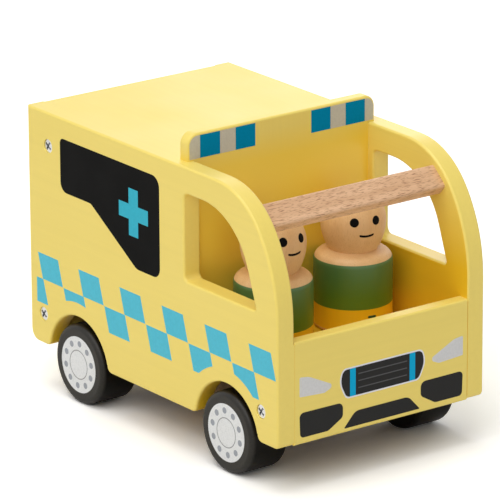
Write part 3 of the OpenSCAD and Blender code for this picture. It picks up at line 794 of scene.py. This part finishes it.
def strip(name, outline_rows, surface, material, body):
    """Thin curved stroke made of a lower and an upper row of points."""
    made = bmesh.new()
    faces = [[[made.verts.new(surface(p, out) * MM) for p in row] for row in outline_rows]
             for out in (PAINT_T, SUNK)]
    (top_low, top_high), (deep_low, deep_high) = faces
    for i in range(len(top_low) - 1):
        made.faces.new((top_low[i], top_low[i + 1], top_high[i + 1], top_high[i]))
        made.faces.new((deep_low[i], deep_high[i], deep_high[i + 1], deep_low[i + 1]))
        made.faces.new((top_low[i], deep_low[i], deep_low[i + 1], top_low[i + 1]))
        made.faces.new((top_high[i], top_high[i + 1], deep_high[i + 1], deep_high[i]))
    made.faces.new((top_low[0], top_high[0], deep_high[0], deep_low[0]))
    made.faces.new((top_low[-1], deep_low[-1], deep_high[-1], top_high[-1]))
    return add_piece(name, finish_mesh(made, name), material, body, smooth=True)


def smile_rows(half_w, rise, width, steps=24):
    """Lower and upper edge of a shallow curved stroke whose ends close in a round."""
    rows = [[], []]
    for i in range(steps + 1):
        t = 2 * i / steps - 1
        u = half_w * t
        reach = half_w - abs(u)
        half = width / 2
        if reach < half:
            half = math.sqrt(max(half * half - (half - reach) ** 2, BLUNT_END ** 2))
        v = rise * t * t
        rows[0].append(Vector((u, v - half)))
        rows[1].append(Vector((u, v + half)))
    return rows


# Each figure's name, the way it faces in degrees, and the heights of its eyes and mouth
FIGURES = [("left", -14.8, 95.7, 89.3), ("right", 1.5, 97.1, 91)]
for word, facing, eye_z, mouth_z in FIGURES:
    body = f"{word}_figure"
    low, high = span(f"figure_{word}")
    centre = (low + high) / 2
    band(f"figure_{word}_green", centre, GREEN_FOOT, GREEN_TOP, figure_green, body, "figure_paint")
    band(f"figure_{word}_yellow", centre, YELLOW_FOOT, GREEN_FOOT, figure_yellow, body, "yellow_paint")

    def on_face(azimuth, height, c=centre):
        """Maps millimetres across and up from a face point onto the head."""
        return lambda p, out: on_head(c, azimuth + p.x / head_level(height), height + p.y, out)

    def on_body(azimuth, height, c=centre):
        def put(p, out):
            turn = azimuth + p.x / FIGURE_R
            reach = FIGURE_R + PAINT_T + out
            return Vector((c[0] + reach * math.cos(turn), c[1] + reach * math.sin(turn), height + p.y))
        return put

    for eye, side in (("right", -1), ("left", 1)):
        patch(f"figure_{word}_eye_{eye}", circle((0, 0), EYE_R, 32),
              on_face(math.radians(facing + side * EYE_A), eye_z), face_black, body)
    mouth_half = head_level(mouth_z) * math.radians(MOUTH_A)
    strip(f"figure_{word}_mouth", smile_rows(mouth_half, MOUTH_RISE, MOUTH_W),
          on_face(math.radians(facing + MOUTH_TURN), mouth_z), face_black, body)
    strip(f"figure_{word}_belt_mark", smile_rows(FIGURE_R * math.radians(DASH_A), 0, DASH_H),
          on_body(math.radians(facing + DASH_TURN), DASH_Z), belt_green, body)

# Camera, floor and light

CAMERA_PLACE = (1.6317, -1.2225, 0.7438)
CAMERA_AZIMUTH = math.radians(53.194)
CAMERA_RISE = math.radians(18.192)
CAMERA_ROLL = math.radians(-0.266)
CAMERA_LENS = 358.4

camera_data = bpy.data.cameras.new("camera")
camera_data.lens = CAMERA_LENS
camera_data.sensor_fit = "HORIZONTAL"
camera_data.sensor_width = 36
camera_data.clip_start = 0.05
camera_data.clip_end = 50
camera = bpy.data.objects.new("camera", camera_data)
scene.collection.objects.link(camera)
back = Vector((
    math.sin(CAMERA_AZIMUTH) * math.cos(CAMERA_RISE),
    -math.cos(CAMERA_AZIMUTH) * math.cos(CAMERA_RISE),
    math.sin(CAMERA_RISE),
))
right = Vector((math.cos(CAMERA_AZIMUTH), math.sin(CAMERA_AZIMUTH), 0))
up = back.cross(right)
turned_right = right * math.cos(CAMERA_ROLL) + up * math.sin(CAMERA_ROLL)
turned_up = up * math.cos(CAMERA_ROLL) - right * math.sin(CAMERA_ROLL)
camera.matrix_world = Matrix.Translation(CAMERA_PLACE) @ Matrix(
    (turned_right, turned_up, back)).transposed().to_4x4()
scene.camera = camera

FLOOR_HALF = 7
PAPER_FOR_LIGHT = (0.9, 0.88, 0.84, 1)
PAPER_FOR_CAMERA = (1.28, 1.265, 1.235, 1)
floor_mesh = bpy.data.meshes.new("floor")
floor_corners = [(x * FLOOR_HALF, y * FLOOR_HALF, 0) for x, y in ((-1, -1), (1, -1), (1, 1), (-1, 1))]
floor_mesh.from_pydata(floor_corners, [], [(0, 1, 2, 3)])
floor = bpy.data.objects.new("floor", floor_mesh)
scene.collection.objects.link(floor)
paper = Shader("floor_paper")
paper_tint = paper.node("ShaderNodeMix", data_type="RGBA")
paper.link(paper.node("ShaderNodeLightPath").outputs["Is Camera Ray"], paper_tint.inputs["Factor"])
seen_by_light, seen_by_camera = colour_sockets(paper_tint.inputs)
seen_by_light.default_value = PAPER_FOR_LIGHT
seen_by_camera.default_value = PAPER_FOR_CAMERA
matt = paper.node("ShaderNodeBsdfDiffuse")
paper.link(colour_sockets(paper_tint.outputs)[0], matt.inputs["Color"])
paper.link(matt.outputs["BSDF"], paper.tree.nodes["Material Output"].inputs["Surface"])
floor_mesh.materials.append(paper.material)

# The studio walls look white to the camera and in reflections, and light the toy more softly
SKY_LIGHT = 0.37
world = bpy.data.worlds.new("studio")
scene.world = world
world.use_nodes = True
sky_nodes = world.node_tree.nodes
sky_links = world.node_tree.links
sky = sky_nodes["Background"]
sky.inputs["Color"].default_value = (1, 1, 1, 1)
path = sky_nodes.new("ShaderNodeLightPath")
seen = None
for ray in ("Is Camera Ray", "Is Glossy Ray", "Is Transmission Ray"):
    either = sky_nodes.new("ShaderNodeMath")
    either.operation = "MAXIMUM"
    sky_links.new(path.outputs[ray], either.inputs[0])
    either.inputs[1].default_value = SKY_LIGHT
    if seen is not None:
        sky_links.new(seen, either.inputs[1])
    seen = either.outputs["Value"]
sky_links.new(seen, sky.inputs["Strength"])


def soft_light(name, place, target, size, power):
    data = bpy.data.lights.new(name, "AREA")
    data.shape = "RECTANGLE"
    data.size, data.size_y = size
    data.energy = power
    light = bpy.data.objects.new(name, data)
    scene.collection.objects.link(light)
    light.location = place
    light.rotation_euler = (Vector(target) - Vector(place)).to_track_quat("-Z", "Y").to_euler()
    light.visible_camera = False


# Each light's name, place and size in metres, and power in watts
LIGHT_TARGET = (0, 0, 0.08)
for name, place, size, power in (
    ("key", (0.47, -1.1, 2.27), (1.8, 1.8), 17.2),
    ("top", (-0.2, -0.1, 2.6), (1.6, 1.6), 19.6),
    ("near_side", (-0.4, -1.9, 1.7), (1.4, 1.2), 6.3),
    ("front", (1.4, -1.6, 1.6), (1.4, 1.2), 10.6),
    ("back", (-1.4, 1.9, 0.9), (1.6, 1.2), 8.4),
):
    soft_light(name, place, LIGHT_TARGET, size, power)

scene.view_settings.view_transform = "Standard"
